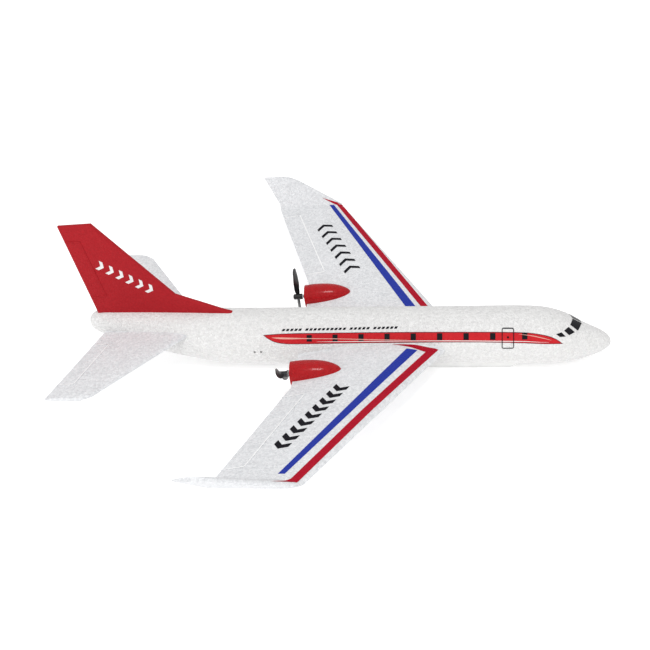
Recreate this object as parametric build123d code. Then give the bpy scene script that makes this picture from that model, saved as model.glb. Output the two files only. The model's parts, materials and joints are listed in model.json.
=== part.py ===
"""Small twin-pusher foam airliner model.

Body frame while building: X forward, Y to the left wing, Z up, origin on the
fuselage axis.  Every shape is moved at export so that the belly rails stand on
z = 0 and the bounding box is centred on x = 0, y = 0.  Millimetres.
"""

import math
import os

from build123d import *

# ---------------------------------------------------------------- overall
NOSE_X = 197.5
FIN_TOP_REAR_X = -207.3
SHIFT_X = -(NOSE_X + FIN_TOP_REAR_X) / 2.0
BELLY_Z = -23.4
SHIFT_Z = -BELLY_Z

# ---------------------------------------------------------------- fuselage
MAIN_CROWN = 21.3
MAIN_KEEL = -22.1
MAIN_HALF_WIDTH = 21.6
# (x, crown z, keel z, half width) of the lines plan, tail to nose
LINES = (
    (-197.3, 16.8, 13.4, 1.5),
    (-196.2, 19.4, 11.0, 3.9),
    (-193.8, 21.7, 8.0, 6.4),
    (-189.0, 23.1, 5.2, 8.5),
    (-176.0, 23.4, 0.6, 10.9),
    (-160.0, 23.3, -4.6, 13.4),
    (-142.0, 23.0, -10.2, 16.1),
    (-124.0, 22.6, -15.0, 18.4),
    (-106.0, 22.1, -18.9, 20.2),
    (-88.0, 21.6, -21.3, 21.3),
    (-68.0, MAIN_CROWN, MAIN_KEEL, MAIN_HALF_WIDTH),
    (-20.0, MAIN_CROWN, MAIN_KEEL, MAIN_HALF_WIDTH),
    (40.0, MAIN_CROWN, MAIN_KEEL, MAIN_HALF_WIDTH),
    (90.0, MAIN_CROWN, MAIN_KEEL, MAIN_HALF_WIDTH),
    (120.0, 21.5, -22.2, 21.6),
    (134.0, 21.4, -22.4, 21.4),
    (146.0, 20.6, -22.5, 21.0),
    (155.0, 18.8, -22.3, 20.1),
    (162.0, 16.4, -22.0, 18.8),
    (168.0, 13.5, -21.3, 17.0),
    (174.0, 10.0, -20.2, 14.6),
    (180.0, 6.9, -18.6, 12.3),
    (186.0, 4.1, -16.6, 10.1),
    (191.0, 1.5, -14.3, 7.7),
    (195.0, -1.5, -11.9, 5.0),
    (197.5, -5.2, -8.7, 1.6),
)
WALL = 7.0
REAR_CAVITY = (-150.0, -46.0)
FRONT_CAVITY = (94.0, 146.0)
CAVITY_FLOOR = -6.5
VENT_R = 0.9
VENT_X = (-67.7, -62.7)
VENT_Z = -1.0

# ---------------------------------------------------------------- wing
WING_LE_ROOT = 86.0
WING_LE_SLOPE = -0.53
WING_TE_ROOT = -34.5
WING_TE_KINK_Y = 71.0
WING_TE_SLOPE = -0.318
WING_END_Y = 185.6
WING_BOTTOM_Z = -5.9
DIHEDRAL = 5.6
ROOT_THICKNESS = 9.6
TIP_THICKNESS = 5.6
TE_THICKNESS = 1.2
BEND_RADIUS = 10.0
WINGLET_CANT = 50.0
WINGLET_RUN = 25.4
WINGLET_LE_TIP = -61.2
WINGLET_TE_TIP = -87.5
WINGLET_LE_ROOT = -16.0
WINGLET_TE_ROOT = -72.4
WINGLET_TIP_THICKNESS = 2.6
RIDGE_WIDTH = 0.9
RIDGE_HEIGHT = 0.3
AILERON = ((-40.5, 84.6), (-22.9, 84.2), (-51.8, 171.4), (-70.0, 171.4))

# ---------------------------------------------------------------- tail
STAB_LE_ROOT = -107.6
STAB_TE_ROOT = -181.6
STAB_LE_TIP = -172.4
STAB_TE_TIP = -202.4
STAB_HALF_SPAN = 101.4
STAB_MID_Z = 9.9
STAB_DIHEDRAL = 2.5
STAB_ROOT_THICKNESS = 5.4
STAB_TIP_THICKNESS = 3.4
ELEVATOR = ((-192.0, 31.0), (-175.4, 31.0), (-186.6, 84.6), (-204.0, 84.6))
FIN_HALF = 2.3
FIN_OUTLINE = (
    (-189.2, 18.0),
    (-190.9, 27.0),
    (FIN_TOP_REAR_X, 96.9),
    (-182.2, 98.2),
    (-127.5, 37.6),
    (-107.6, 30.0),
    (-92.0, 23.9),
    (-85.6, 22.0),
    (-85.6, 18.0),
)
RUDDER = ((-202.7, 84.6), (-192.4, 84.6), (-180.2, 37.8), (-191.4, 36.8))

# ---------------------------------------------------------------- propulsion
ENGINE_Y = 53.8
HUB_X = -42.4
HUB_Z = 1.6
THRUST_TILT = 4.0
# bullet radius against distance ahead of the hub centre
NACELLE_REAR = 6.3
NACELLE_PROFILE = (
    (6.3, 8.9),
    (12.0, 9.3),
    (19.0, 9.3),
    (26.0, 8.8),
    (33.0, 7.4),
    (38.0, 5.5),
    (41.2, 3.5),
    (42.6, 1.9),
    (43.2, 0.0),
)
NACELLE_WALL = 0.8
MOTOR_R = 3.4
MOTOR_LENGTH = 16.0
MOTOR_REAR = 5.2
CAP_LENGTH = 1.6
SHAFT_R = 0.5
SHAFT_FIT = 0.04
MOUNT_FRONT = 14.0
MOUNT_RING_R = 10.0
PROP_R = 24.9
PROP_HUB_R = 2.3
PROP_HUB_LENGTH = 7.4
PROP_CHORD = 8.0
PROP_THICKNESS = 0.9
PROP_ANGLE_LEFT = 4.0
PROP_ANGLE_RIGHT = -53.0
LEAD_R = 0.45
LEAD_GAP = 0.8
LEAD_X = -12.0
LEAD_DROP_Y = 6.5
LEAD_WING_Z = (1.9, -2.9)

# ---------------------------------------------------------------- belly
FRAME_FRONT = 127.0
FRAME_REAR = -32.0
FRAME_HALF = 10.0
FRAME_PLATE_TOP = -21.9
FRAME_SLOPE = 5.0
HATCH_FRONT = 118.6
HATCH_REAR = 58.0
HATCH_HALF = 8.2
HATCH_GAP = 0.45
HATCH_TOP = -21.35
HATCH_BOTTOM = -22.95
HINGE_Z = -21.9
HINGE_PIN_R = 0.5
HINGE_BARREL_R = 1.2
HINGE_FIT = 0.05
TRAY_FRONT = 122.0
TRAY_REAR = 55.6
TRAY_HALF = 9.6
TRAY_TOP = -8.5
TRAY_BOTTOM = -21.0
TRAY_WALL = 1.1
MAGNET_R = 2.0
MAGNET_H = 1.0
MAGNET_X = 62.0
BAY_FRONT = 52.0
BAY_REAR = -27.0
BAY_HALF = 8.8
BAY_TOP = -9.0

# ---------------------------------------------------------------- spars, ballast
SPAR_R = 1.25
SPAR_ROOT = (43.0, 2.5, -0.7)
SPAR_TIP = (-3.0, 122.0, 9.3)
JOINER = (37.0, 49.0, 9.0, -3.9, 3.0)
BALLAST_R = 5.0
BALLAST_X = (150.0, 162.0)
BALLAST_Z = -8.0

# ---------------------------------------------------------------- battery and electronics
BATTERY = (74.0, 112.0, 8.2, -19.6, -13.0)
BATTERY_ROUND = 1.6
GUARD = (71.0, 7.0, -18.6, -14.0)
PLUG = (60.0, 67.0, 2.8, -16.6, -13.2)
PLUG_WALL = 0.7
WIRE_R = 0.5
WIRE_Y = 1.3
WIRE_Z = -14.9
WIRE_KNEE_X = 44.0
CABLE_SLOT_R = 2.4
BOARD = (14.0, 46.0, 7.4)
BOARD_TOP = -10.6
BOARD_BOTTOM = -11.6
ANTENNA_R = 0.35
ANTENNA_Z = -11.1
ANTENNA_END_X = -24.0
SWITCH = (-0.4, 12.4, 3.2)
SWITCH_TOP = -17.6
SWITCH_SLOT = (2.0, 10.0, 1.6)
SWITCH_WINDOW = (1.4, 10.6, 2.6)
KNOB = (3.0, 6.0, 1.25)
SOCKET = (-13.8, -6.2, 3.2)
SOCKET_WALL = 1.0
SOCKET_TOP = -17.4
SOCKET_ROOF = 1.2
PIN_X = (-9.0, -11.0)
PIN_HALF = 0.4
LAMP_X = -20.0
LAMP_R = 1.5
LAMP_FIT = 0.05
LAMP_RISE = 1.6

MIN_Z = (Align.CENTER, Align.CENTER, Align.MIN)


def box(x0, x1, y0, y1, z0, z1):
    centre = ((x0 + x1) / 2.0, (y0 + y1) / 2.0, (z0 + z1) / 2.0)
    return Pos(*centre) * Box(x1 - x0, y1 - y0, z1 - z0)


def slab_box(plan, z0, z1, grow=0.0):
    """A box on the centreline from (rear x, front x, half width) and two heights."""
    rear, front, half = plan
    return box(rear - grow, front + grow, -half - grow, half + grow, z0, z1)


def mirror_y(shape):
    return mirror(shape, about=Plane.XZ)


def rod(start, end, radius):
    a = Vector(*start)
    b = Vector(*end)
    axis = b - a
    plane = Plane(origin=a, z_dir=axis)
    return plane * Cylinder(radius, axis.length, align=(Align.CENTER, Align.CENTER, Align.MIN))


def wire_run(points, radius):
    shape = None
    for start, end in zip(points[:-1], points[1:]):
        piece = rod(start, end, radius)
        shape = piece if shape is None else shape + piece
    for knee in points[1:-1]:
        shape = shape + Pos(*knee) * Sphere(radius)
    return shape


# ================================================================= fuselage
def fuselage_section(x, crown, keel, half_width):
    plane = Plane(origin=(x, 0, (crown + keel) / 2.0), x_dir=(0, 1, 0), z_dir=(1, 0, 0))
    return plane * Ellipse(half_width, (crown - keel) / 2.0)


def fuselage_outer():
    return loft([fuselage_section(*row) for row in LINES])


def lines_at(x):
    for low, high in zip(LINES[:-1], LINES[1:]):
        if low[0] <= x <= high[0]:
            t = (x - low[0]) / (high[0] - low[0])
            return tuple(low[i] + t * (high[i] - low[i]) for i in range(1, 4))
    raise ValueError(x)


def fuselage_cavity(span):
    count = 6
    sections = []
    for i in range(count):
        x = span[0] + (span[1] - span[0]) * i / (count - 1)
        crown, keel, half = lines_at(x)
        sections.append(fuselage_section(x, crown - WALL, keel + WALL, half - WALL))
    return loft(sections)


def fuselage_vents():
    holes = None
    for x in VENT_X:
        hole = rod((x, -30.0, VENT_Z), (x, -18.0, VENT_Z), VENT_R)
        holes = hole if holes is None else holes + hole
    return holes


# ================================================================= lifting surfaces
def section_points(chord, thickness, te, flat):
    upper = []
    lower = []
    count = 11
    for i in range(count + 1):
        s = 0.5 * (1.0 - math.cos(math.pi * i / count))
        shape = 1.4845 * math.sqrt(s) - 0.63 * s - 1.758 * s * s
        shape = shape + 1.4215 * s ** 3 - 0.518 * s ** 4
        full = 2.0 * thickness * shape + te * s
        if flat:
            lift = 0.30 * thickness * max(0.0, 1.0 - s / 0.16) ** 2
            low = lift
        else:
            low = -full / 2.0
        upper.append((-s * chord, low + full))
        lower.append((-s * chord, low))
    return upper, lower


def foil(x_le, x_te, y, z, angle, thickness, te=TE_THICKNESS, flat=True):
    a = math.radians(angle)
    up = Vector(0, -math.sin(a), math.cos(a))
    upper, lower = section_points(x_le - x_te, thickness, te, flat)
    base = Vector(x_le, y, z)

    def place(p):
        return base + Vector(p[0], 0, 0) + up * p[1]

    loop = [place(p) for p in reversed(upper)] + [place(p) for p in lower[1:]]
    curve = Edge.make_spline(loop)
    closing = Edge.make_line(loop[-1], loop[0])
    return Face(Wire([curve, closing]))


def wing_bottom(y):
    return WING_BOTTOM_Z + y * math.tan(math.radians(DIHEDRAL))


def wing_thickness(y):
    return ROOT_THICKNESS + (TIP_THICKNESS - ROOT_THICKNESS) * y / WING_END_Y


def wing_le(y):
    return WING_LE_ROOT + WING_LE_SLOPE * y


def wing_te(y):
    return WING_TE_ROOT + WING_TE_SLOPE * max(0.0, y - WING_TE_KINK_Y)


def wing_station(y):
    return foil(wing_le(y), wing_te(y), y, wing_bottom(y), 0.0, wing_thickness(y))


def bend_point(angle):
    y = WING_END_Y + BEND_RADIUS * (math.sin(math.radians(angle)) - math.sin(math.radians(DIHEDRAL)))
    z = wing_bottom(WING_END_Y)
    z = z + BEND_RADIUS * (math.cos(math.radians(DIHEDRAL)) - math.cos(math.radians(angle)))
    return y, z


def winglet_sections():
    sections = [wing_station(WING_END_Y)]
    steps = 3
    for i in range(1, steps + 1):
        t = i / steps
        angle = DIHEDRAL + (WINGLET_CANT - DIHEDRAL) * t
        y, z = bend_point(angle)
        le = wing_le(WING_END_Y) + (WINGLET_LE_ROOT - wing_le(WING_END_Y)) * t
        te = wing_te(WING_END_Y) + (WINGLET_TE_ROOT - wing_te(WING_END_Y)) * t
        sections.append(foil(le, te, y, z, angle, TIP_THICKNESS - 0.5 * t))
    return sections


def winglet_tip_sections():
    y0, z0 = bend_point(WINGLET_CANT)
    c = math.cos(math.radians(WINGLET_CANT))
    s = math.sin(math.radians(WINGLET_CANT))
    start = TIP_THICKNESS - 0.5
    rows = []
    for t, le_drop in ((0.0, 0.0), (0.88, 0.0), (1.0, 3.0)):
        le = WINGLET_LE_ROOT + (WINGLET_LE_TIP - WINGLET_LE_ROOT) * t - le_drop
        te = WINGLET_TE_ROOT + (WINGLET_TE_TIP - WINGLET_TE_ROOT) * t
        thick = start + (WINGLET_TIP_THICKNESS - start) * t
        run = WINGLET_RUN * t
        rows.append(foil(le, te, y0 + run * c, z0 + run * s, WINGLET_CANT, thick))
    return rows


def raised_ridges(shape, outline, z0, z1):
    """The moulded outline of a control surface, standing proud of the upper skin."""
    for start, end in zip(outline[:-1], outline[1:]):
        strip = shape & plan_slab(start, end, RIDGE_WIDTH, z0, z1)
        shape = shape + strip.moved(Location((0, 0, RIDGE_HEIGHT)))
    return shape


def plan_slab(start, end, width, z0, z1):
    a = Vector(start[0], start[1], z0)
    b = Vector(end[0], end[1], z0)
    run = b - a
    angle = math.degrees(math.atan2(run.Y, run.X))
    mid = (a + b) * 0.5
    bar = Box(run.length, width, z1 - z0, align=(Align.CENTER, Align.CENTER, Align.MIN))
    return Pos(mid.X, mid.Y, z0) * Rot(0, 0, angle) * bar


def wing_panel():
    wing = loft([wing_station(0.0), wing_station(WING_TE_KINK_Y)], ruled=True)
    wing = wing + loft([wing_station(WING_TE_KINK_Y), wing_station(WING_END_Y)], ruled=True)
    for rows, ruled in ((winglet_sections(), False), (winglet_tip_sections(), True)):
        wing = wing + loft(rows, ruled=ruled)
    return raised_ridges(wing, AILERON, -20.0, 50.0)


def stab_half():
    tilt = math.tan(math.radians(STAB_DIHEDRAL))
    rows = []
    for t in (0.0, 0.955, 1.0):
        y = STAB_HALF_SPAN * t
        pinch = 3.2 if t == 1.0 else 0.0
        le = STAB_LE_ROOT + (STAB_LE_TIP - STAB_LE_ROOT) * t - pinch
        te = STAB_TE_ROOT + (STAB_TE_TIP - STAB_TE_ROOT) * t
        thick = STAB_ROOT_THICKNESS + (STAB_TIP_THICKNESS - STAB_ROOT_THICKNESS) * t
        thick = thick - pinch * 0.3
        rows.append(foil(le, te, y, STAB_MID_Z + y * tilt, 0.0, thick, te=1.4, flat=False))
    half = loft(rows, ruled=True)
    return raised_ridges(half, ELEVATOR, 0.0, 30.0)


def tailplane():
    half = stab_half()
    return half + mirror_y(half)


def side_slab(start, end, width, y0, y1):
    dx = end[0] - start[0]
    dz = end[1] - start[1]
    length = math.hypot(dx, dz)
    angle = math.degrees(math.atan2(dz, dx))
    mid = ((start[0] + end[0]) / 2.0, (y0 + y1) / 2.0, (start[1] + end[1]) / 2.0)
    return Pos(*mid) * Rot(0, -angle, 0) * Box(length, y1 - y0, width)


def tail_fin():
    outline = Polyline(*[(x, z) for x, z in FIN_OUTLINE], close=True)
    face = make_face(outline)
    slab = extrude(Plane.XZ * face, amount=FIN_HALF, both=True)
    long_edges = [e for e in slab.edges() if abs(abs(e.center().Y) - FIN_HALF) < 1e-4]
    long_edges = [e for e in long_edges if e.center().Z > 19.0]
    slab = fillet(long_edges, 1.7)
    room = extrude(Plane.XZ * face, amount=FIN_HALF + 1.0, both=True)
    half = FIN_HALF + RIDGE_HEIGHT
    for start, end in zip(RUDDER[:-1], RUDDER[1:]):
        slab = slab + (side_slab(start, end, RIDGE_WIDTH, -half, half) & room)
    return slab


# ================================================================= propulsion
def thrust_plane(side):
    a = math.radians(THRUST_TILT)
    origin = (HUB_X, side * ENGINE_Y, HUB_Z)
    return Plane(origin=origin, x_dir=(0, 1, 0), z_dir=(math.cos(a), 0, math.sin(a)))


def nacelle_solid(inset=0.0):
    rows = []
    for along, radius in NACELLE_PROFILE:
        rows.append((max(0.0, radius - inset), along))
    if inset > 0.0:
        rows = rows[:-1] + [(0.0, NACELLE_PROFILE[-2][0] + 0.3)]
    curve = Spline(*rows, tangents=((0.02, 1.0), (-1.0, 0.0)))
    base = Line((0, rows[0][1]), rows[0])
    spine = Line(rows[-1], (0, rows[0][1]))
    face = make_face([base, curve, spine])
    return revolve(Plane.XZ * face, axis=Axis.Z)


def motor_mount():
    front = NACELLE_REAR + 0.8
    ring = Pos(0, 0, front) * Cylinder(MOUNT_RING_R, MOUNT_FRONT - front, align=MIN_Z)
    ring = ring & nacelle_solid(NACELLE_WALL)
    bore = Cylinder(MOTOR_R, 60.0)
    for turn in range(3):
        window = Pos(6.0, 0, front - 1.0) * Box(2.4, 4.8, 20.0, align=MIN_Z)
        ring = ring - Rot(0, 0, 120.0 * turn) * window
    return ring - bore


def motor_can():
    can = Pos(0, 0, MOTOR_REAR + CAP_LENGTH)
    can = can * Cylinder(MOTOR_R, MOTOR_LENGTH - CAP_LENGTH, align=MIN_Z)
    front = [e for e in can.edges() if e.center().Z > MOTOR_REAR + MOTOR_LENGTH - 0.1]
    can = fillet(front, 0.6)
    bore = Cylinder(SHAFT_R + SHAFT_FIT, MOTOR_REAR + 9.0, align=MIN_Z)
    return can - bore


def motor_cap():
    cap = Pos(0, 0, MOTOR_REAR) * Cylinder(MOTOR_R - 0.15, CAP_LENGTH, align=MIN_Z)
    cap = cap + Pos(0, 0, MOTOR_REAR - 0.7) * Cylinder(1.4, 0.8, align=MIN_Z)
    bore = Cylinder(SHAFT_R + SHAFT_FIT, 60.0)
    return cap - bore


def prop_shaft():
    start = -PROP_HUB_LENGTH / 2.0 + 0.8
    return Pos(0, 0, start) * Cylinder(SHAFT_R, MOTOR_REAR + 8.6 - start, align=MIN_Z)


def blade_station(radius, chord, pitch, lead):
    plane = Plane(origin=(0, radius, 0), x_dir=(1, 0, 0), z_dir=(0, 1, 0))
    shape = Pos(lead, 0) * Ellipse(chord / 2.0, PROP_THICKNESS / 2.0)
    return plane * (Rot(0, 0, pitch) * shape)


def propeller(angle, hand):
    hub = Cylinder(PROP_HUB_R, PROP_HUB_LENGTH)
    tail = [e for e in hub.edges() if e.center().Z < -PROP_HUB_LENGTH / 2.0 + 0.1]
    hub = fillet(tail, 1.2)
    rows = (
        (1.4, 3.4, 44.0, 0.0),
        (5.0, 5.2, 35.0, 0.1),
        (10.0, 7.4, 27.0, 0.2),
        (16.0, PROP_CHORD, 20.0, 0.2),
        (21.0, 7.0, 16.0, 0.1),
        (24.2, 4.8, 14.0, 0.0),
        (PROP_R, 2.4, 13.0, -0.1),
    )
    blade = loft([blade_station(r, chord, -hand * pitch, lead) for r, chord, pitch, lead in rows])
    whole = hub + blade + Rot(0, 0, 180.0) * blade
    whole = whole - Cylinder(SHAFT_R, 40.0, align=MIN_Z).moved(
        Location((0, 0, -PROP_HUB_LENGTH / 2.0 + 0.8))
    )
    return Rot(0, 0, angle) * whole


def lead_points(side, offset):
    a = math.radians(THRUST_TILT)
    along = MOTOR_REAR + MOTOR_LENGTH
    x0 = HUB_X + along * math.cos(a)
    z0 = HUB_Z + along * math.sin(a)
    x1 = LEAD_X + offset
    y_out = ENGINE_Y + offset
    z_out, z_in = LEAD_WING_Z
    y_in = LEAD_DROP_Y
    return (
        (x0, side * y_out, z0),
        (x1, side * y_out, z_out),
        (x1, side * y_in, z_in),
        (x1, side * y_in, BAY_TOP - 2.0),
    )


# ================================================================= belly
def belly_block():
    top = -12.0
    mid = (FRAME_FRONT + FRAME_REAR) / 2.0
    length = FRAME_FRONT - FRAME_REAR
    rows = []
    for z, grow in ((BELLY_Z, 0.0), (top, 1.0)):
        plane = Plane(origin=(mid, 0, z))
        extra = grow * FRAME_SLOPE
        outline = RectangleRounded(length + 2 * extra * 2.2, 2 * (FRAME_HALF + extra), 4.0)
        rows.append(plane * outline)
    return loft(rows, ruled=True)


def hatch_window():
    front = HATCH_FRONT + HINGE_BARREL_R + 0.5
    rear = HATCH_REAR - HATCH_GAP
    half = HATCH_HALF + HATCH_GAP
    return box(rear, front, -half, half, -30.0, -10.0)


def belly_frame(fuselage):
    block = belly_block()
    low = box(-260.0, 260.0, -40.0, 40.0, -40.0, FRAME_PLATE_TOP)
    frame = (block - fuselage) + (block & low)
    frame = frame - hatch_window()
    frame = frame - box(TRAY_REAR, TRAY_FRONT, -TRAY_HALF, TRAY_HALF, TRAY_BOTTOM, -10.0)
    frame = frame - slab_box(SWITCH, FRAME_PLATE_TOP, SWITCH_TOP)
    frame = frame - slab_box(SWITCH_WINDOW, -30.0, -20.0)
    frame = frame - slab_box(SOCKET, -30.0, -20.0, grow=0.4)
    frame = frame - Pos(LAMP_X, 0, BELLY_Z) * Cylinder(LAMP_R + LAMP_FIT, 12.0)
    frame = frame - hinge_pin()
    return frame


def hinge_pin():
    half = HATCH_HALF + HATCH_GAP + 0.8
    return rod((HATCH_FRONT, -half, HINGE_Z), (HATCH_FRONT, half, HINGE_Z), HINGE_PIN_R)


def battery_hatch():
    plate = box(HATCH_REAR, HATCH_FRONT, -HATCH_HALF, HATCH_HALF, HATCH_BOTTOM, HATCH_TOP)
    rear_edges = [e for e in plate.edges() if e.center().X < HATCH_REAR + 0.01]
    upright = [e for e in rear_edges if abs(e.center().Z - (HATCH_TOP + HATCH_BOTTOM) / 2) < 0.01]
    plate = fillet(upright, 2.0)
    barrel = rod((HATCH_FRONT, -HATCH_HALF, HINGE_Z), (HATCH_FRONT, HATCH_HALF, HINGE_Z), HINGE_BARREL_R)
    shape = plate + barrel
    bore = rod((HATCH_FRONT, -20.0, HINGE_Z), (HATCH_FRONT, 20.0, HINGE_Z), HINGE_PIN_R + HINGE_FIT)
    shape = shape - bore
    for i in range(5):
        x = HATCH_REAR + 7.0 + 1.8 * i
        shape = shape - box(x, x + 0.8, -5.0, 5.0, HATCH_BOTTOM - 1.0, HATCH_BOTTOM + 0.4)
    return shape - hatch_magnet()


def hatch_magnet():
    return Pos(MAGNET_X, 0, HATCH_TOP - MAGNET_H) * Cylinder(MAGNET_R, MAGNET_H, align=MIN_Z)


def bay_magnet():
    return Pos(MAGNET_X, 0, TRAY_BOTTOM) * Cylinder(MAGNET_R, MAGNET_H, align=MIN_Z)


def battery_tray():
    shell = box(TRAY_REAR, TRAY_FRONT, -TRAY_HALF, TRAY_HALF, TRAY_BOTTOM, TRAY_TOP)
    inner = box(
        TRAY_REAR + TRAY_WALL,
        TRAY_FRONT - TRAY_WALL,
        -TRAY_HALF + TRAY_WALL,
        TRAY_HALF - TRAY_WALL,
        TRAY_BOTTOM - 1.0,
        TRAY_TOP - TRAY_WALL,
    )
    shell = shell - inner
    shell = shell + box(TRAY_REAR, MAGNET_X + 3.2, -3.4, 3.4, TRAY_BOTTOM, TRAY_BOTTOM + 2.0)
    shell = shell - bay_magnet()
    for y in (-WIRE_Y, WIRE_Y):
        shell = shell - rod((TRAY_REAR - 2.0, y, WIRE_Z), (TRAY_REAR + 3.0, y, WIRE_Z), WIRE_R + 0.1)
    return shell


# ================================================================= electronics
def battery_cell():
    rear, front, half, low, high = BATTERY
    cell = box(rear, front, -half, half, low, high)
    edges = [e for e in cell.edges() if e.length > 30.0]
    return fillet(edges, BATTERY_ROUND)


def battery_guard():
    rear, half, low, high = GUARD
    return box(rear, BATTERY[0], -half, half, low, high)


def battery_pad():
    return slab_box((80.0, 106.0, 6.5), BATTERY[4], TRAY_TOP - TRAY_WALL)


def battery_plug():
    rear, front, half, low, high = PLUG
    plug = box(rear, front, -half, half, low, high)
    inner = half - PLUG_WALL
    return plug - box(rear - 1.0, rear + 3.0, -inner, inner, low + PLUG_WALL, high - PLUG_WALL)


def receiver_board():
    return slab_box(BOARD, BOARD_BOTTOM, BOARD_TOP)


def board_pad():
    return slab_box((BOARD[0] + 4.0, BOARD[1] - 4.0, 6.0), BOARD_TOP, BAY_TOP)


def board_chip(x, y, sx, sy, h):
    return box(x - sx / 2, x + sx / 2, y - sy / 2, y + sy / 2, BOARD_BOTTOM - h, BOARD_BOTTOM)


def switch_body():
    body = slab_box(SWITCH, FRAME_PLATE_TOP, SWITCH_TOP)
    return body - slab_box(SWITCH_SLOT, FRAME_PLATE_TOP - 1.0, FRAME_PLATE_TOP + 1.6)


def switch_knob():
    foot = slab_box(KNOB, FRAME_PLATE_TOP - 1.1, FRAME_PLATE_TOP + 1.2)
    for i in range(2):
        x = KNOB[0] + 0.8 + 1.0 * i
        foot = foot - box(x, x + 0.4, -2.0, 2.0, FRAME_PLATE_TOP - 2.0, FRAME_PLATE_TOP - 0.8)
    return foot


def charge_socket():
    body = slab_box(SOCKET, BELLY_Z + 0.4, SOCKET_TOP)
    return body - slab_box(SOCKET, BELLY_Z - 1.0, SOCKET_TOP - SOCKET_ROOF, grow=-SOCKET_WALL)


def charge_pin(x):
    foot = BELLY_Z + 0.9
    return box(x - PIN_HALF, x + PIN_HALF, -PIN_HALF, PIN_HALF, foot, SOCKET_TOP - SOCKET_ROOF)


def status_lamp():
    place = Pos(LAMP_X, 0, BELLY_Z + LAMP_RISE)
    return place * Cylinder(LAMP_R, 3.2, align=MIN_Z) + place * Sphere(LAMP_R)


def ballast():
    return rod((BALLAST_X[0], 0, BALLAST_Z), (BALLAST_X[1], 0, BALLAST_Z), BALLAST_R)


def joiner():
    x0, x1, half, z0, z1 = JOINER
    return box(x0, x1, -half, half, z0, z1)


def spar(side):
    start = (SPAR_ROOT[0], side * SPAR_ROOT[1], SPAR_ROOT[2])
    end = (SPAR_TIP[0], side * SPAR_TIP[1], SPAR_TIP[2])
    return rod(start, end, SPAR_R)


# ================================================================= assembly
SIDES = {1: "left", -1: "right"}


def pod_nodes(side):
    """One propulsion pod: shell, motor with its mount, shaft and propeller."""
    tag = SIDES[side]
    plane = thrust_plane(side)
    shell = nacelle_solid() - nacelle_solid(NACELLE_WALL)
    shell = shell - Pos(0, 0, NACELLE_REAR - 2.0) * Cylinder(NACELLE_PROFILE[0][1] - NACELLE_WALL, 4.0)
    angle = PROP_ANGLE_LEFT if side > 0 else PROP_ANGLE_RIGHT
    return {
        "nacelle_" + tag: plane * shell - lead_channels(side),
        "motor_mount_" + tag: plane * motor_mount(),
        "motor_can_" + tag: plane * motor_can(),
        "motor_cap_" + tag: plane * motor_cap(),
        "prop_shaft_" + tag: plane * prop_shaft(),
        "propeller_" + tag: plane * propeller(-angle, side),
        "motor_lead_red_" + tag: wire_run(lead_points(side, LEAD_GAP), LEAD_R),
        "motor_lead_black_" + tag: wire_run(lead_points(side, -LEAD_GAP), LEAD_R),
    }


def lead_channels(side):
    bores = [wire_run(lead_points(side, offset), LEAD_R + 0.15) for offset in (LEAD_GAP, -LEAD_GAP)]
    return bores[0] + bores[1]


def wing_nodes(wings, spars, block):
    nodes = {}
    for side, tag in SIDES.items():
        bullet = thrust_plane(side) * nacelle_solid()
        nodes["wing_" + tag] = wings[side] - bullet - lead_channels(side) - block - spars[side]
        nodes["spar_" + tag] = spars[side]
    nodes["spar_joiner"] = block - spars[1] - spars[-1]
    return nodes


def fuselage_nodes(outer, cuts):
    """The two glued foam halves, cleared for everything that is set into them."""
    bay = box(BAY_REAR, BAY_FRONT, -BAY_HALF, BAY_HALF, -30.0, BAY_TOP)
    tray_room = box(TRAY_REAR, TRAY_FRONT, -TRAY_HALF, TRAY_HALF, -30.0, TRAY_TOP)
    foam = outer - bay - tray_room
    for cut in cuts:
        foam = foam - cut
    upper = box(-260.0, 260.0, -40.0, 40.0, CAVITY_FLOOR, 60.0)
    foam = foam - fuselage_cavity(REAR_CAVITY)
    foam = foam - (fuselage_cavity(FRONT_CAVITY) & upper)
    foam = foam - fuselage_vents()
    foam = foam - rod((BAY_FRONT - 2.0, 0, WIRE_Z), (TRAY_REAR + 1.0, 0, WIRE_Z), CABLE_SLOT_R)
    nodes = {}
    for side, tag in SIDES.items():
        half_space = box(-300.0, 300.0, min(0, side * 60.0), max(0, side * 60.0), -60.0, 160.0)
        nodes["fuselage_" + tag] = foam & half_space
    return nodes


def battery_nodes():
    nodes = {
        "battery_tray": battery_tray(),
        "battery_hatch": battery_hatch(),
        "hatch_pin": hinge_pin(),
        "hatch_magnet": hatch_magnet(),
        "bay_magnet": bay_magnet(),
        "battery_cell": battery_cell(),
        "battery_guard": battery_guard(),
        "battery_pad": battery_pad(),
        "battery_plug": battery_plug(),
    }
    for colour, y in (("red", WIRE_Y), ("black", -WIRE_Y)):
        nodes["battery_lead_" + colour] = rod((PLUG[1], y, WIRE_Z), (GUARD[0], y, WIRE_Z), WIRE_R)
        run = (
            (PLUG[0] + 3.0, y, WIRE_Z),
            (WIRE_KNEE_X + 6.0, y, WIRE_Z),
            (WIRE_KNEE_X, y, WIRE_Z),
            (WIRE_KNEE_X, y, BOARD_BOTTOM),
        )
        nodes["board_lead_" + colour] = wire_run(run, WIRE_R)
    return nodes


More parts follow.
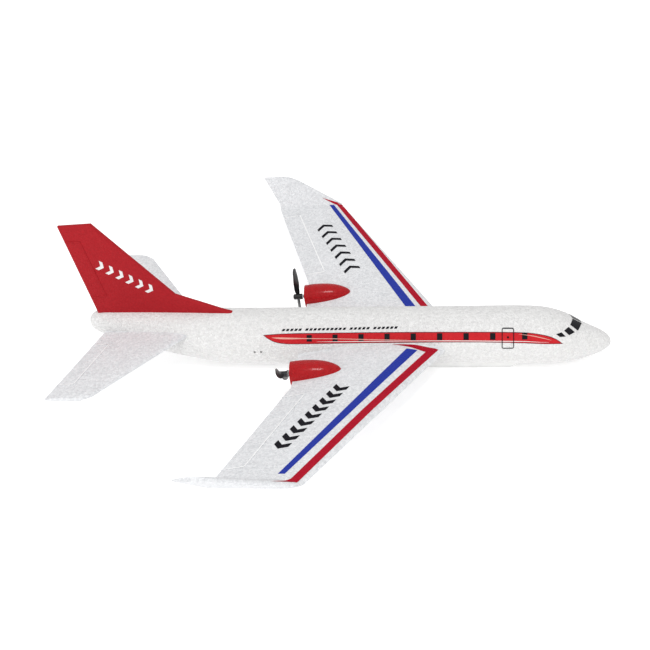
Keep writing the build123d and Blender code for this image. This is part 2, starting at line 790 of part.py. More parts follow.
def electronics_nodes():
    antenna_start = (BOARD[0], 2.0, ANTENNA_Z)
    return {
        "receiver_board": receiver_board(),
        "board_pad": board_pad(),
        "radio_chip": board_chip(28.0, 0.0, 6.0, 6.0, 1.0),
        "crystal": board_chip(36.0, 3.8, 3.2, 2.4, 0.9),
        "driver_chip_left": board_chip(19.0, 4.2, 3.6, 3.6, 1.1),
        "driver_chip_right": board_chip(19.0, -4.2, 3.6, 3.6, 1.1),
        "antenna_wire": rod(antenna_start, (ANTENNA_END_X, 2.0, ANTENNA_Z), ANTENNA_R),
        "power_switch_body": switch_body(),
        "power_switch_knob": switch_knob(),
        "charge_socket": charge_socket(),
        "charge_pin_front": charge_pin(PIN_X[0]),
        "charge_pin_rear": charge_pin(PIN_X[1]),
        "status_lamp": status_lamp(),
    }


def build():
    outer = fuselage_outer()
    panel = wing_panel()
    wings = {1: panel, -1: mirror_y(panel)}
    tail = tailplane()
    fin = tail_fin()
    block = joiner()
    frame = belly_frame(outer)
    slug = ballast()
    spars = {side: spar(side) for side in SIDES}
    cuts = [frame, slug, block, fin, tail]
    for side in SIDES:
        cuts += [wings[side], lead_channels(side)]
    nodes = fuselage_nodes(outer, cuts)
    nodes.update(wing_nodes(wings, spars, block))
    for side in SIDES:
        nodes.update(pod_nodes(side))
    nodes.update(battery_nodes())
    nodes.update(electronics_nodes())
    nodes["tailplane"] = tail - fin
    nodes["tail_fin"] = fin
    nodes["belly_frame"] = frame
    nodes["nose_ballast"] = slug
    return nodes


def main():
    os.makedirs("parts", exist_ok=True)
    place = Location((SHIFT_X, 0.0, SHIFT_Z))
    for name, shape in build().items():
        export_step(shape.moved(place), os.path.join("parts", name + ".step"))


main()
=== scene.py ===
"""Looks of the small foam airliner: bead foam, printed livery, pods and propellers.

Lengths below are millimetres in the body frame (X to the nose, Y to the left wing,
Z up, origin on the fuselage axis) and at() turns them into the frame's metres.
"""
import json
import math

import bpy
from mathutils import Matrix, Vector
from mathutils.bvhtree import BVHTree


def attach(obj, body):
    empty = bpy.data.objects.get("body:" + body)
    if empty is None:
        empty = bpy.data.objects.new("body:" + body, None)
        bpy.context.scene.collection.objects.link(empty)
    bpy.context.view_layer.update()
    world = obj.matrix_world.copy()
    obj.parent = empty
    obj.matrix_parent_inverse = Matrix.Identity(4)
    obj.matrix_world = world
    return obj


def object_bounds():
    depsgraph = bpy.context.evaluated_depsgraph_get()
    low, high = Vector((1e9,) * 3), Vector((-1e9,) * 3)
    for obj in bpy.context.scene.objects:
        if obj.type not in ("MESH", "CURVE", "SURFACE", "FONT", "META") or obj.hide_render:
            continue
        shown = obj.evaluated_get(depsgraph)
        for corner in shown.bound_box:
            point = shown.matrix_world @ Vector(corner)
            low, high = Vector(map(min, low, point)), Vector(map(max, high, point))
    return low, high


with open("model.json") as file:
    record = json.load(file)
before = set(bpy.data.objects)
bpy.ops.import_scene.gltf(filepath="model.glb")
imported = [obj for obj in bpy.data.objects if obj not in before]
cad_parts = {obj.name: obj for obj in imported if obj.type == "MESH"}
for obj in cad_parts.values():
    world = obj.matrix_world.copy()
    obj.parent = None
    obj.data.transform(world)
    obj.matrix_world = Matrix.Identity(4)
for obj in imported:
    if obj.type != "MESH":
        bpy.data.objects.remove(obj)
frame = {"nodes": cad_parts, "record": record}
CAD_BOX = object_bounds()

MM = 0.001
NOSE_AHEAD = 197.5
AXIS_HEIGHT = 23.4
ORIGIN = Vector((CAD_BOX[1][0] - NOSE_AHEAD * MM, 0.0, CAD_BOX[0][2] + AXIS_HEIGHT * MM))

# camera
CAMERA_AZIMUTH = 7.0
CAMERA_ELEVATION = 32.7
CAMERA_ROLL = -4.2
CAMERA_DISTANCE = 803.0
CAMERA_SLIDE = (-16.1, 7.4)
CAMERA_LENS = 58.37

# livery on the fuselage sides, as heights along X
WINDOW_PITCH = 19.3
WINDOW_X = [-25.8 + WINDOW_PITCH * i for i in range(8)] + [132.4]
WINDOW_Z = (9.6, 10.2)
WINDOW_SIZE = (3.9, 4.4)
DOOR = (115.8, 124.7, 1.3, 15.4)
DOOR_CORNER = 1.3
DOOR_LINE = 0.6
KNOB_Z = 9.7
KNOB_RADIUS = 0.75
DASH_GROUPS = (5, 10, 5, 6)
DASH_START = (-46.6, 14.1)
DASH_RISE = 1.0 / 87.0
DASH_PITCH = 3.12
DASH_SIZE = (2.0, 1.24)
DASH_SLANT = 1.0
BAND_TOP = ((-60.6, 11.9), (-50.0, 12.5), (-33.0, 12.9), (27.0, 13.2), (78.0, 13.1),
            (118.0, 12.9), (135.5, 12.2), (147.0, 10.3), (155.0, 7.2), (160.3, 3.1))
BAND_FOOT = ((-60.6, 11.9), (-56.5, 9.2), (-51.6, 7.0), (-44.2, 5.7), (-33.0, 5.5),
             (0.0, 5.9), (41.6, 6.2), (100.0, 6.2), (129.0, 5.4), (147.0, 4.2), (160.3, 3.1))
PINSTRIPE = ((-54.0, 10.3, 0.1), (-49.0, 9.9, 1.0), (-41.0, 9.7, 1.1), (-30.0, 9.6, 0.6),
             (-6.0, 9.3, 0.45), (20.0, 8.7, 0.45), (47.0, 8.3, 0.1))
FOOT_LINE = ((-20.0, 7.3, 0.1), (0.0, 7.3, 0.45), (60.0, 7.5, 0.5), (129.0, 6.7, 0.45), (150.0, 5.3, 0.1))
NOSE_LINE = ((128.0, 11.6, 0.1), (138.0, 10.3, 0.45), (146.0, 8.4, 0.5), (152.0, 6.6, 0.1))
BAND_RIM = 0.42
# how far each printed layer, and the painted ridge highlight, stands off the foam
LIFT = {"base": 0.08, "window": 0.16, "line": 0.24, "door": 0.32,
        "wing": 0.1, "join": 0.11, "fin": 0.08, "pane": 0.16, "ridge": 0.06}
# livery on each wing as (x, y) from root to tip, left then right
WING_RED_FORE = {1: ((66.0, 25.0), (-14.9, 188.6)),
                 -1: ((69.8, 25.0), (25.6, 106.2), (-16.8, 188.4))}
WING_RED_AFT = {1: ((57.4, 30.3), (-19.6, 186.6)),
                -1: ((60.3, 30.3), (19.0, 107.0), (-20.6, 184.8))}
WING_RED_TAIL = {1: (-33.4, 191.6), -1: (-31.4, 194.2)}
WING_BLUE_FORE = {1: ((53.8, 28.4), (-22.2, 185.6)), -1: ((54.5, 28.9), (-24.9, 181.1))}
WING_BLUE_AFT = {1: ((46.1, 27.0), (-26.4, 185.2)), -1: ((46.6, 27.8), (-29.1, 181.1))}
RED_ROOT_TAIL = (35.4, 22.0)
RED_ROOT_KNEE = (53.0, 21.9)
# chevron rows: first and last point, count, height across the row, stroke and depth
WING_CHEVRONS = {1: ((0.6, 81.0), (-29.6, 152.8), 7, 13.5, 3.5, 4.6),
                 -1: ((3.4, 77.4), (-32.8, 153.6), 9, 10.8, 5.0, 4.0)}
FIN_CHEVRONS = ((-182.5, 65.3), (-143.5, 42.5), 6, 7.6, 2.8, 2.6)
FIN_PITCH = 8.0
# raised lines round the control surfaces, as (x, y) on one side
AILERON = ((-40.5, 84.6), (-22.9, 84.2), (-51.8, 171.4), (-70.0, 171.4))
ELEVATOR = ((-190.0, 31.0), (-175.4, 31.0), (-186.6, 84.6), (-200.0, 84.6))
RIDGE_HALF = 0.42


def at(x, y, z):
    return ORIGIN + Vector((x, y, z)) * MM


# ------------------------------------------------------------------ shader helpers
class Nodes:
    """Short names for building one material's node tree."""

    def __init__(self, name):
        self.material = bpy.data.materials.new(name)
        self.material.use_nodes = True
        self.tree = self.material.node_tree
        self.shader = self.tree.nodes["Principled BSDF"]
        coord = self.tree.nodes.new("ShaderNodeTexCoord")
        self.place = coord.outputs["Object"]

    def link(self, source, target):
        self.tree.links.new(source, target)

    def noise(self, scale, detail=3.0, rough=0.55):
        node = self.tree.nodes.new("ShaderNodeTexNoise")
        node.inputs["Scale"].default_value = scale
        node.inputs["Detail"].default_value = detail
        node.inputs["Roughness"].default_value = rough
        self.link(self.place, node.inputs["Vector"])
        return node.outputs["Fac"]

    def cells(self, scale, feature="DISTANCE_TO_EDGE", out="Distance"):
        node = self.tree.nodes.new("ShaderNodeTexVoronoi")
        node.feature = feature
        node.inputs["Scale"].default_value = scale
        self.link(self.place, node.inputs["Vector"])
        return node.outputs[out]

    def math(self, op, a, b=0.0, clamp=False):
        node = self.tree.nodes.new("ShaderNodeMath")
        node.operation = op
        node.use_clamp = clamp
        for socket, value in zip(node.inputs, (a, b)):
            if isinstance(value, (int, float)):
                socket.default_value = value
            else:
                self.link(value, socket)
        return node.outputs[0]

    def ramp(self, source, low, high, value_low=0.0, value_high=1.0):
        node = self.tree.nodes.new("ShaderNodeMapRange")
        node.inputs["From Min"].default_value = low
        node.inputs["From Max"].default_value = high
        node.inputs["To Min"].default_value = value_low
        node.inputs["To Max"].default_value = value_high
        self.link(source, node.inputs["Value"])
        return node.outputs["Result"]

    def mix(self, factor, first, second):
        node = self.tree.nodes.new("ShaderNodeMix")
        node.data_type = "RGBA"
        self.link(factor, node.inputs["Factor"])
        for socket, value in ((node.inputs[6], first), (node.inputs[7], second)):
            if isinstance(value, tuple):
                socket.default_value = (*value, 1.0)
            else:
                self.link(value, socket)
        return node.outputs[2]

    def bump(self, height, distance, strength=1.0, below=None):
        node = self.tree.nodes.new("ShaderNodeBump")
        node.inputs["Strength"].default_value = strength
        node.inputs["Distance"].default_value = distance * MM
        self.link(height, node.inputs["Height"])
        if below is not None:
            self.link(below, node.inputs["Normal"])
        return node.outputs["Normal"]

    def colour(self, source):
        self.link(source, self.shader.inputs["Base Color"])

    def roughness(self, source):
        self.link(source, self.shader.inputs["Roughness"])

    def normal(self, source):
        self.link(source, self.shader.inputs["Normal"])

    def set(self, **values):
        for name, value in values.items():
            self.shader.inputs[name.replace("_", " ")].default_value = value


def bead_foam(name, light, dark, rough=0.6, depth=0.4, bead=1.5, gloss=0.2, coat=0.0):
    """Moulded bead foam: domed beads of slightly different tone under a fine pressed grain, with painted
    shade in the seams between beads.
    """
    n = Nodes(name)
    away = n.cells(1000.0 / bead, "F1")
    edge = n.cells(1000.0 / bead)
    tone = n.cells(1000.0 / bead, "F1", "Color")
    fine = n.cells(2400.0 / bead, "F1")
    grain = n.noise(1500.0, 3.0, 0.6)
    cloud = n.noise(40.0, 3.0, 0.5)
    dome = n.ramp(away, 0.0, 0.75, 1.0, 0.0)
    # painted shade: the colour is darker in the seams between beads, where the creases would be in shade
    seam_painted_shade = n.ramp(edge, 0.0, 0.1)
    height = n.math("MULTIPLY", dome, 0.9)
    height = n.math("ADD", height, n.math("MULTIPLY", n.ramp(fine, 0.0, 0.7, 1.0, 0.0), 0.35))
    height = n.math("ADD", height, n.math("MULTIPLY", grain, 0.5))
    shade = n.math("MULTIPLY", n.ramp(tone, 0.1, 0.9), 0.5)
    shade = n.math("ADD", shade, n.math("MULTIPLY", n.ramp(grain, 0.38, 0.62), 0.32))
    shade = n.math("ADD", shade, n.math("MULTIPLY", n.ramp(cloud, 0.3, 0.7), 0.06))
    shade = n.math("ADD", shade, n.math("MULTIPLY", seam_painted_shade, 0.12))
    n.colour(n.mix(shade, dark, light))
    n.roughness(n.ramp(grain, 0.3, 0.7, rough - 0.12, rough + 0.14))
    n.normal(n.bump(height, depth, 1.0))
    n.set(Specular_IOR_Level=gloss, Coat_Weight=coat, Coat_Roughness=0.16)
    return n.material


def print_on_foam(name, light, dark):
    return bead_foam(name, light, dark, rough=0.6, depth=0.25, gloss=0.06)


def moulded(name, light, dark, rough, grain_mm=0.35, depth=0.02, coat=0.0, gloss=0.4):
    """Injection-moulded plastic with a fine spark-eroded grain and handling marks."""
    n = Nodes(name)
    grain = n.noise(1000.0 / grain_mm, 2.0, 0.5)
    cloud = n.noise(90.0, 3.0, 0.6)
    scuff = n.noise(420.0, 5.0, 0.7)
    n.colour(n.mix(n.ramp(cloud, 0.35, 0.7), dark, light))
    n.roughness(n.ramp(scuff, 0.35, 0.7, rough - 0.06, rough + 0.1))
    n.normal(n.bump(grain, depth, 0.6))
    n.set(Specular_IOR_Level=gloss, Coat_Weight=coat, Coat_Roughness=0.08)
    return n.material


def metal(name, light, dark, rough, stretch=(1.0, 1.0, 1.0), depth=0.01):
    n = Nodes(name)
    mapping = n.tree.nodes.new("ShaderNodeMapping")
    mapping.inputs["Scale"].default_value = stretch
    n.link(n.place, mapping.inputs["Vector"])
    n.place = mapping.outputs["Vector"]
    lines = n.noise(2600.0, 3.0, 0.6)
    cloud = n.noise(160.0, 3.0, 0.6)
    n.colour(n.mix(n.ramp(cloud, 0.3, 0.7), dark, light))
    n.roughness(n.ramp(lines, 0.3, 0.7, rough - 0.08, rough + 0.1))
    n.normal(n.bump(lines, depth, 0.5))
    n.set(Metallic=1.0)
    return n.material


def hook_pad(name):
    n = Nodes(name)
    loops = n.cells(1700.0)
    fuzz = n.noise(3200.0, 4.0, 0.7)
    n.colour(n.mix(n.ramp(fuzz, 0.35, 0.65), (0.012, 0.012, 0.013), (0.05, 0.05, 0.055)))
    n.roughness(n.ramp(fuzz, 0.3, 0.7, 0.8, 0.95))
    n.normal(n.bump(loops, 0.15, 0.8))
    n.set(Sheen_Weight=0.4)
    return n.material


def clear_lamp(name):
    n = Nodes(name)
    cloud = n.noise(300.0, 2.0, 0.5)
    n.colour(n.mix(cloud, (0.85, 0.10, 0.06), (1.0, 0.32, 0.22)))
    n.roughness(n.ramp(cloud, 0.3, 0.7, 0.05, 0.14))
    n.set(Transmission_Weight=0.55, IOR=1.49)
    return n.material


MATERIALS = {
    "foam_white": bead_foam("foam_white", (0.87, 0.865, 0.86), (0.65, 0.645, 0.64),
                            rough=0.48, depth=0.6, gloss=0.36),
    # painted shade: foam_grey is the same white bead foam as foam_white, made darker and cooler for the
    # wings as they look under the lamps
    "foam_grey": bead_foam("foam_grey", (0.885, 0.892, 0.908), (0.60, 0.61, 0.63), depth=0.5),
    "foam_red": bead_foam("foam_red", (0.405, 0.014, 0.020), (0.33, 0.009, 0.014), depth=0.22, gloss=0.12),
    "shell_red": bead_foam("shell_red", (0.47, 0.006, 0.010), (0.37, 0.003, 0.006), rough=0.4,
                           depth=0.6, bead=1.8, gloss=0.10, coat=0.3),
    "black_plastic": moulded("black_plastic", (0.022, 0.022, 0.024), (0.012, 0.012, 0.013), 0.32),
    "tray_black": moulded("tray_black", (0.035, 0.035, 0.038), (0.022, 0.022, 0.024), 0.5),
    "white_plastic": moulded("white_plastic", (0.82, 0.82, 0.81), (0.76, 0.76, 0.75), 0.42),
    "motor_steel": metal("motor_steel", (0.56, 0.57, 0.59), (0.42, 0.43, 0.45), 0.3),
    "cap_white": moulded("cap_white", (0.10, 0.10, 0.10), (0.06, 0.06, 0.06), 0.4),
    "shaft_steel": metal("shaft_steel", (0.75, 0.76, 0.77), (0.62, 0.63, 0.64), 0.2),
    "magnet_nickel": metal("magnet_nickel", (0.72, 0.71, 0.68), (0.60, 0.59, 0.56), 0.16),
    "carbon": metal("carbon", (0.05, 0.05, 0.055), (0.025, 0.025, 0.028), 0.38, (0.1, 1.0, 1.0)),
    "wire_red": moulded("wire_red", (0.55, 0.02, 0.03), (0.42, 0.015, 0.02), 0.45),
    "wire_black": moulded("wire_black", (0.03, 0.03, 0.03), (0.02, 0.02, 0.02), 0.45),
    "battery_foil": metal("battery_foil", (0.72, 0.73, 0.74), (0.60, 0.61, 0.62), 0.28, depth=0.05),
    "guard_amber": moulded("guard_amber", (0.70, 0.38, 0.05), (0.58, 0.28, 0.03), 0.25),
    "pad_black": hook_pad("pad_black"),
    "plug_white": moulded("plug_white", (0.82, 0.81, 0.77), (0.74, 0.73, 0.68), 0.4),
    "board_green": moulded("board_green", (0.02, 0.20, 0.07), (0.012, 0.13, 0.045), 0.3, coat=0.4),
    "chip_black": moulded("chip_black", (0.03, 0.03, 0.03), (0.02, 0.02, 0.02), 0.5),
    "crystal_metal": metal("crystal_metal", (0.75, 0.75, 0.74), (0.62, 0.62, 0.61), 0.25),
    "contact_brass": metal("contact_brass", (0.80, 0.60, 0.24), (0.68, 0.48, 0.17), 0.22),
    "lamp_clear": clear_lamp("lamp_clear"),
    "ballast_iron": metal("ballast_iron", (0.30, 0.30, 0.31), (0.20, 0.20, 0.21), 0.55),
}
PRINT_RED = print_on_foam("print_red", (0.58, 0.024, 0.030), (0.47, 0.016, 0.022))
PRINT_CRIMSON = print_on_foam("print_crimson", (0.44, 0.009, 0.026), (0.34, 0.005, 0.018))
PRINT_BLUE = print_on_foam("print_blue", (0.026, 0.046, 0.36), (0.018, 0.034, 0.29))
PRINT_BLACK = print_on_foam("print_black", (0.010, 0.010, 0.014), (0.005, 0.005, 0.008))
PRINT_MAROON = print_on_foam("print_maroon", (0.13, 0.020, 0.024), (0.08, 0.012, 0.015))
PRINT_PINK = print_on_foam("print_pink", (0.80, 0.42, 0.36), (0.72, 0.34, 0.29))
# painted highlight: near-white foam laid along the ridge tops of the control-surface lines
RIDGE_HIGHLIGHT_FOAM = bead_foam("painted_ridge_highlight", (0.97, 0.97, 0.97), (0.90, 0.90, 0.90))
PRINT_WHITE = print_on_foam("print_white", (0.82, 0.81, 0.80), (0.74, 0.73, 0.72))
GLAZING = moulded("glazing", (0.012, 0.012, 0.015), (0.006, 0.006, 0.008), 0.2, gloss=0.12, coat=0.06)


def paint_nodes():
    slots = {s["node"]: s["material_slot"] for s in frame["record"]["subparts"]}
    for name, node in frame["nodes"].items():
        node.data.materials.clear()
        node.data.materials.append(MATERIALS[slots[name]])


# ------------------------------------------------------------------ printed livery
def surface(*names):
    verts = []
    faces = []
    for name in names:
        mesh = frame["nodes"][name].data
        mesh.calc_loop_triangles()
        base = len(verts)
        verts.extend(v.co.copy() for v in mesh.vertices)
        faces.extend(tuple(base + i for i in t.vertices) for t in mesh.loop_triangles)
    return BVHTree.FromPolygons(verts, faces)


SIDE_NAME = {1: "left", -1: "right"}
SKIN = {
    "fuselage": surface("fuselage_left", "fuselage_right"),
    1: surface("wing_left"),
    -1: surface("wing_right"),
    "fin": surface("tail_fin"),
    "tail": surface("tailplane"),
}
UP = Vector((0, 0, 1))


def drop(skin, start, direction, lift):
    hit = SKIN[skin].ray_cast(start, direction)[0]
    if hit is None:
        return None
    return hit - direction * lift * MM


def sheet_from_rows(name, rows, material):
    """One smooth sheet through a grid of points; a missing point leaves a hole."""
    verts = []
    index = {}
    for r, row in enumerate(rows):
        for c, point in enumerate(row):
            if point is not None:
                index[r, c] = len(verts)
                verts.append(point)
    faces = []
    for r in range(len(rows) - 1):
        for c in range(len(rows[0]) - 1):
            corners = [(r, c), (r, c + 1), (r + 1, c + 1), (r + 1, c)]
            if all(k in index for k in corners):
                faces.append([index[k] for k in corners])
    mesh = bpy.data.meshes.new(name)
    mesh.from_pydata([tuple(v) for v in verts], [], faces)
    mesh.validate()
    for polygon in mesh.polygons:
        polygon.use_smooth = True
    piece = bpy.data.objects.new(name, mesh)
    bpy.context.scene.collection.objects.link(piece)
    piece.data.materials.append(material)
    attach(piece, "airframe")
    return piece


def between(a, b, t):
    return tuple(p + (q - p) * t for p, q in zip(a, b))


def side_point(x, z, side, lift):
    start = at(x, side * 60.0, z)
    return drop("fuselage", start, Vector((0, -side, 0)), lift)


def side_patch(name, side, top, foot, material, lift, x0, x1, step=2.5, across=5):
    """Livery patch on a fuselage side between two height curves, from x0 to x1."""
    count = max(2, int((x1 - x0) / step) + 1)
    rows = []
    for j in range(across + 1):
        row = []
        for i in range(count + 1):
            x = x0 + (x1 - x0) * i / count
            low = foot(x)
            z = low + (top(x) - low) * j / across
            row.append(side_point(x, z, side, lift))
        rows.append(row)
    return sheet_from_rows(name, rows, material)


def smooth_curve(points):
    """Smooth height curve through the (x, height) control points."""
    xs = [p[0] for p in points]
    zs = [p[1] for p in points]
    slopes = []
    for i in range(len(points)):
        a = max(0, i - 1)
        b = min(len(points) - 1, i + 1)
        slopes.append((zs[b] - zs[a]) / (xs[b] - xs[a]))

    def value(x):
        if x <= xs[0]:
            return zs[0]
        if x >= xs[-1]:
            return zs[-1]
        i = max(k for k in range(len(xs) - 1) if xs[k] <= x)
        h = xs[i + 1] - xs[i]
        t = (x - xs[i]) / h
        a = zs[i] * (1 + 2 * t) * (1 - t) ** 2 + zs[i + 1] * t * t * (3 - 2 * t)
        return a + h * (slopes[i] * t * (1 - t) ** 2 - slopes[i + 1] * t * t * (1 - t))

    return value


def line_patch(name, side, points, material, lift):
    """A thin tapering line on the fuselage side through (x, height, thickness) points."""
    middle = smooth_curve([(p[0], p[1]) for p in points])
    thick = smooth_curve([(p[0], p[2]) for p in points])
    side_patch(name, side, lambda x: middle(x) + thick(x) / 2, lambda x: middle(x) - thick(x) / 2,
               material, lift, points[0][0], points[-1][0], 1.8, 1)


def side_livery(side):
    tag = SIDE_NAME[side]
    top = smooth_curve(BAND_TOP)
    foot = smooth_curve(BAND_FOOT)
    start = BAND_TOP[0][0]
    end = BAND_TOP[-1][0]

    def upper(x):
        return max(top(x) - BAND_RIM, (top(x) + foot(x)) / 2)

    def lower(x):
        return min(foot(x) + BAND_RIM, (top(x) + foot(x)) / 2)

    stripes = (("red", upper, lower, PRINT_RED, 5), ("top_rim", top, upper, PRINT_MAROON, 1),
               ("foot_rim", lower, foot, PRINT_MAROON, 1))
    for stripe, high, low, material, across in stripes:
        side_patch("band_%s_%s" % (stripe, tag), side, high, low, material,
                   LIFT["base"], start, end, 1.2, across)
    line_patch("pinstripe_" + tag, side, PINSTRIPE, PRINT_PINK, LIFT["line"])
    line_patch("foot_line_" + tag, side, FOOT_LINE, PRINT_WHITE, LIFT["window"])
    line_patch("nose_line_" + tag, side, NOSE_LINE, PRINT_PINK, LIFT["line"])
    for i, x in enumerate(WINDOW_X):
        z = WINDOW_Z[0] + (WINDOW_Z[1] - WINDOW_Z[0]) * min(1.0, i / 3.0)
        half_w = WINDOW_SIZE[0] / 2
        half_h = WINDOW_SIZE[1] / 2
        side_patch("window_%s_%d" % (tag, i), side, lambda q: z + half_h, lambda q: z - half_h,
                   GLAZING, LIFT["window"], x - half_w, x + half_w, 0.8, 4)
    door_outline(side, tag)
    crown_dashes(side, tag)


def rounded_outline(x0, x1, z0, z1, radius):
    """Closed outline of a rounded rectangle as (x, z, outward x, outward z)."""
    corners = ((x1 - radius, z0 + radius, -90), (x1 - radius, z1 - radius, 0),
               (x0 + radius, z1 - radius, 90), (x0 + radius, z0 + radius, 180))
    path = []
    for cx, cz, first in corners:
        for k in range(5):
            a = math.radians(first + 90 * k / 4)
            out = (math.cos(a), math.sin(a))
            path.append((cx + radius * out[0], cz + radius * out[1], *out))
    dense = []
    for p, q in zip(path, path[1:] + path[:1]):
        steps = max(1, int(math.dist(p[:2], q[:2]) / 1.2))
        dense += [between(p, q, k / steps) for k in range(steps)]
    return dense + [dense[0]]


def door_outline(side, tag):
    x0, x1, z0, z1 = DOOR
    outline = rounded_outline(x0, x1, z0, z1, DOOR_CORNER)
    rows = [[side_point(x - nx * inner, z - nz * inner, side, LIFT["door"])
             for x, z, nx, nz in outline] for inner in (0.0, DOOR_LINE)]
    sheet_from_rows("door_outline_" + tag, rows, PRINT_BLACK)
    middle = (x0 + x1) / 2
    turns = [2 * math.pi * k / 12 for k in range(13)]
    rows = [[side_point(middle + ring * math.cos(a), KNOB_Z + ring * math.sin(a), side, LIFT["door"])
             for a in turns] for ring in (0.02, KNOB_RADIUS)]
    sheet_from_rows("door_knob_" + tag, rows, PRINT_BLACK)


def crown_dashes(side, tag):
    """A fine broken line above the band, in place of any wording."""
    x = DASH_START[0]
    length, height = DASH_SIZE
    index = 0
    for group in DASH_GROUPS:
        for i in range(group):
            low = DASH_START[1] + DASH_RISE * (x - DASH_START[0])
            rows = [[side_point(x + DASH_SLANT * up + length * along, low + height * up, side, LIFT["base"])
                     for along in (0.0, 0.5, 1.0)] for up in (0.0, 0.5, 1.0)]
            sheet_from_rows("crown_dash_%s_%02d" % (tag, index), rows, PRINT_BLACK)
            index += 1
            x += DASH_PITCH
        x += DASH_PITCH * 0.62


def wing_point(x, y, side, lift):
    point = drop(side, at(x, side * y, 90.0), -UP, lift)
    if point is not None:
        return point
    near, normal = SKIN[side].find_nearest(at(x, side * y, wing_height(y)))[:2]
    return near + normal * lift * MM


def wing_height(y):
    """Rough height of the upper skin, enough to find the nearest point of it."""
    return 2.0 + 0.075 * y


def wing_patch(name, side, edge_a, edge_b, material, lift=LIFT["wing"], step=2.0, across=4):
    """Livery patch on a wing's upper skin between two plan lines of (x, y) points."""
    length = max(math.dist(edge_a[0], edge_a[-1]), math.dist(edge_b[0], edge_b[-1]))
    count = max(2, int(length / step))

    def on(edge, t):
        f = t * (len(edge) - 1)
        i = min(int(f), len(edge) - 2)
        return between(edge[i], edge[i + 1], f - i)

    rows = []
    for j in range(across + 1):
        row = []
        for i in range(count + 1):
            x, y = between(on(edge_a, i / count), on(edge_b, i / count), j / across)
            row.append(wing_point(x, y, side, lift))
        rows.append(row)
    return sheet_from_rows(name, rows, material)


def wing_livery(side):
    tag = SIDE_NAME[side]
    fore = WING_RED_FORE[side]
    aft = WING_RED_AFT[side]
    tail = WING_RED_TAIL[side]
    wing_patch("wing_red_" + tag, side, fore, aft, PRINT_CRIMSON)
    mid = between(RED_ROOT_TAIL, aft[0], 0.55)
    wing_patch("wing_red_root_" + tag, side, (RED_ROOT_TAIL, RED_ROOT_KNEE, fore[0]),
               (RED_ROOT_TAIL, (mid[0], mid[1] - 0.9), aft[0]), PRINT_CRIMSON, LIFT["join"])
    wing_patch("wing_red_tip_" + tag, side, (fore[-1], tail), (aft[-1], tail),
               PRINT_CRIMSON, LIFT["join"])
    wing_patch("wing_blue_" + tag, side, WING_BLUE_FORE[side], WING_BLUE_AFT[side],
               PRINT_BLUE)


def ridge_highlights(name, outline, place):
    """Painted highlight: bright strips along the tops of the raised lines round one control surface, where
    they would catch the light.
    """
    for i, (start, end) in enumerate(zip(outline[:-1], outline[1:])):
        run = (Vector(end) - Vector(start)).normalized()
        across = Vector((-run.y, run.x)) * RIDGE_HALF
        count = max(2, int(math.dist(start, end) / 3.0))
        rows = []
        for edge in (-1, 1):
            middles = [Vector(between(start, end, k / count)) + across * edge for k in range(count + 1)]
            rows.append([place(p.x, p.y) for p in middles])
        sheet_from_rows("%s_%d" % (name, i), rows, RIDGE_HIGHLIGHT_FOAM)


def control_surface_lines(side):
    tag = SIDE_NAME[side]
    ridge_highlights("aileron_line_" + tag, AILERON,
                lambda x, y: wing_point(x, y, side, LIFT["ridge"]))
    ridge_highlights("elevator_line_" + tag, ELEVATOR,
                lambda x, y: drop("tail", at(x, side * y, 90.0), -UP, LIFT["ridge"]))


def chevrons(name, place, count, pitch, height, stroke, depth, material):
    """A row of chevrons pointing along the row, in place of any wording.

    place(u, v) gives the surface point u along the row and v across it.
    """
    steps = 8
    for i in range(count):
        rows = []
        for j in range(steps + 1):
            v = (j / steps - 0.5) * height
            start = pitch * i + depth * (1.0 - abs(2.0 * v / height))
            rows.append([place(start + stroke * k / 3, v) for k in range(4)])
        sheet_from_rows("%s_%02d" % (name, i), rows, material)


def row_frame(first, last):
    run = (Vector(last) - Vector(first)).normalized()
    rise = Vector((-run.y, run.x))
    return Vector(first), run, rise


def chevron_pitch(first, last, count, stroke, depth):
    return (math.dist(first, last) - stroke - depth) / (count - 1)


def wing_chevrons(side):
    first, last, count, height, stroke, depth = WING_CHEVRONS[side]
    start, run, rise = row_frame(first, last)

    def place(u, v):
        p = start + run * u + rise * v
        return wing_point(p.x, p.y, side, LIFT["wing"])

    pitch = chevron_pitch(first, last, count, stroke, depth)
    chevrons("wing_chevron_" + SIDE_NAME[side], place, count, pitch, height, stroke, depth,
             PRINT_BLACK)


def fin_chevrons(side):
    first, last, count, height, stroke, depth = FIN_CHEVRONS
    start, run, rise = row_frame(first, last)

    def place(u, v):
        p = start + run * u + rise * v
        return drop("fin", at(p.x, side * 20.0, p.y), Vector((0, -side, 0)), LIFT["fin"])

    chevrons("fin_chevron_" + SIDE_NAME[side], place, count, FIN_PITCH, height, stroke, depth,
             PRINT_WHITE)


# corners of the cockpit panes on one side, as (x, y, z)
PANES = (
    ((168.4, 0.45, 13.3), (175.2, 0.45, 9.3), (171.5, 9.1, 8.2), (165.9, 7.9, 12.6)),
    ((164.5, 10.0, 12.2), (169.1, 11.2, 8.4), (164.7, 14.4, 7.9), (161.1, 13.3, 11.2)),
    ((159.0, 14.7, 10.6), (162.2, 15.7, 7.6), (157.9, 16.9, 8.0), (155.1, 16.4, 10.1)),
)


def cockpit_panes(side):
    steps = 6
    for i, corners in enumerate(PANES):
        rows = []
        for j in range(steps + 1):
            row = []
            for k in range(steps + 1):
                front = between(corners[0], corners[1], k / steps)
                back = between(corners[3], corners[2], k / steps)
                x, y, z = between(front, back, j / steps)
                near, normal = SKIN["fuselage"].find_nearest(at(x, side * y, z))[:2]
                row.append(near + normal * LIFT["pane"] * MM)
            rows.append(row)
        sheet_from_rows("pane_%s_%d" % (SIDE_NAME[side], i), rows, GLAZING)


# ------------------------------------------------------------------ stage
FLOOR_SIZE = 6.0
KEY_LIGHT = ((0.1, -0.9, 1.8), (0.5, 0.4), 15.0)
SIDE_LIGHT = ((-1.3, -1.2, 0.8), (0.8, 0.8), 4.0)
LIGHT_TARGET = (0.0, 0.0, 0.03)
SKY_STRENGTH = 0.72


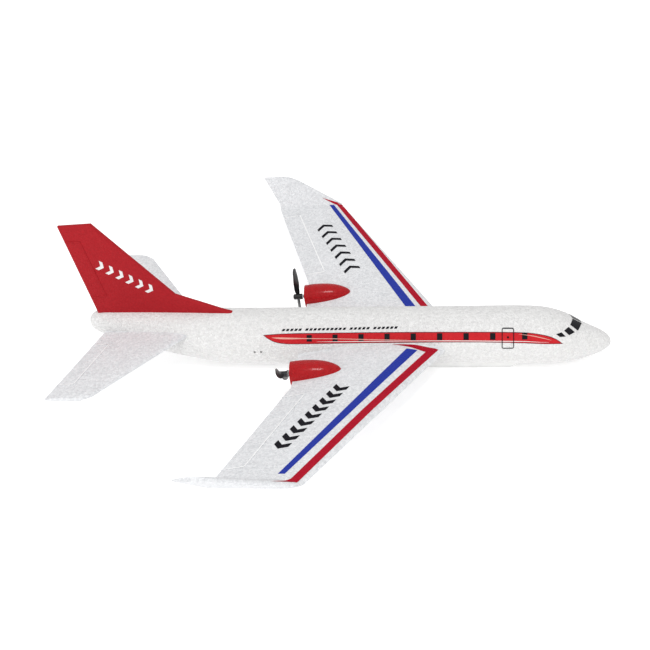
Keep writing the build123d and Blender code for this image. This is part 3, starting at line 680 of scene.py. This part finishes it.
def floor():
    size = FLOOR_SIZE
    mesh = bpy.data.meshes.new("floor")
    corners = [(-size, -size, 0), (size, -size, 0), (size, size, 0), (-size, size, 0)]
    mesh.from_pydata(corners, [], [(0, 1, 2, 3)])
    plane = bpy.data.objects.new("floor", mesh)
    bpy.context.scene.collection.objects.link(plane)
    n = Nodes("floor_paper")
    cloud = n.noise(6.0)
    n.colour(n.mix(cloud, (0.96, 0.96, 0.96), (0.98, 0.98, 0.98)))
    n.set(Roughness=0.9, Emission_Color=(1.0, 1.0, 1.0, 1.0), Emission_Strength=0.31)
    plane.data.materials.append(n.material)


def softbox(name, place, size, power):
    data = bpy.data.lights.new(name, "AREA")
    data.shape = "RECTANGLE"
    data.size, data.size_y = size
    data.energy = power
    lamp = bpy.data.objects.new(name, data)
    bpy.context.scene.collection.objects.link(lamp)
    lamp.location = place
    lamp.rotation_euler = (Vector(LIGHT_TARGET) - Vector(place)).to_track_quat("-Z", "Y").to_euler()


def lights():
    softbox("key", *KEY_LIGHT)
    softbox("side", *SIDE_LIGHT)
    world = bpy.data.worlds.new("studio")
    bpy.context.scene.world = world
    world.use_nodes = True
    world.node_tree.nodes["Background"].inputs["Color"].default_value = (1.0, 1.0, 1.0, 1.0)
    world.node_tree.nodes["Background"].inputs["Strength"].default_value = SKY_STRENGTH
    bpy.context.scene.view_settings.view_transform = "Standard"


def camera():
    azimuth, elevation, roll = (math.radians(a) for a in (CAMERA_AZIMUTH, CAMERA_ELEVATION, CAMERA_ROLL))
    back = Vector((math.sin(azimuth) * math.cos(elevation),
                   -math.cos(azimuth) * math.cos(elevation), math.sin(elevation)))
    level = (-back).cross(UP).normalized()
    rise = level.cross(-back)
    right = level * math.cos(roll) + rise * math.sin(roll)
    up = rise * math.cos(roll) - level * math.sin(roll)
    data = bpy.data.cameras.new("camera")
    data.sensor_width = 36.0
    data.lens = CAMERA_LENS
    data.clip_start = 0.01
    view = bpy.data.objects.new("camera", data)
    bpy.context.scene.collection.objects.link(view)
    place = ORIGIN + (right * CAMERA_SLIDE[0] + up * CAMERA_SLIDE[1] + back * CAMERA_DISTANCE) * MM
    matrix = view.matrix_world.to_3x3()
    matrix.col[0] = right
    matrix.col[1] = up
    matrix.col[2] = back
    view.matrix_world = matrix.to_4x4()
    view.location = place
    bpy.context.scene.camera = view


paint_nodes()
for side in (1, -1):
    side_livery(side)
    wing_livery(side)
    cockpit_panes(side)
    fin_chevrons(side)
    control_surface_lines(side)
for side in (-1, 1):
    wing_chevrons(side)
floor()
lights()
camera()
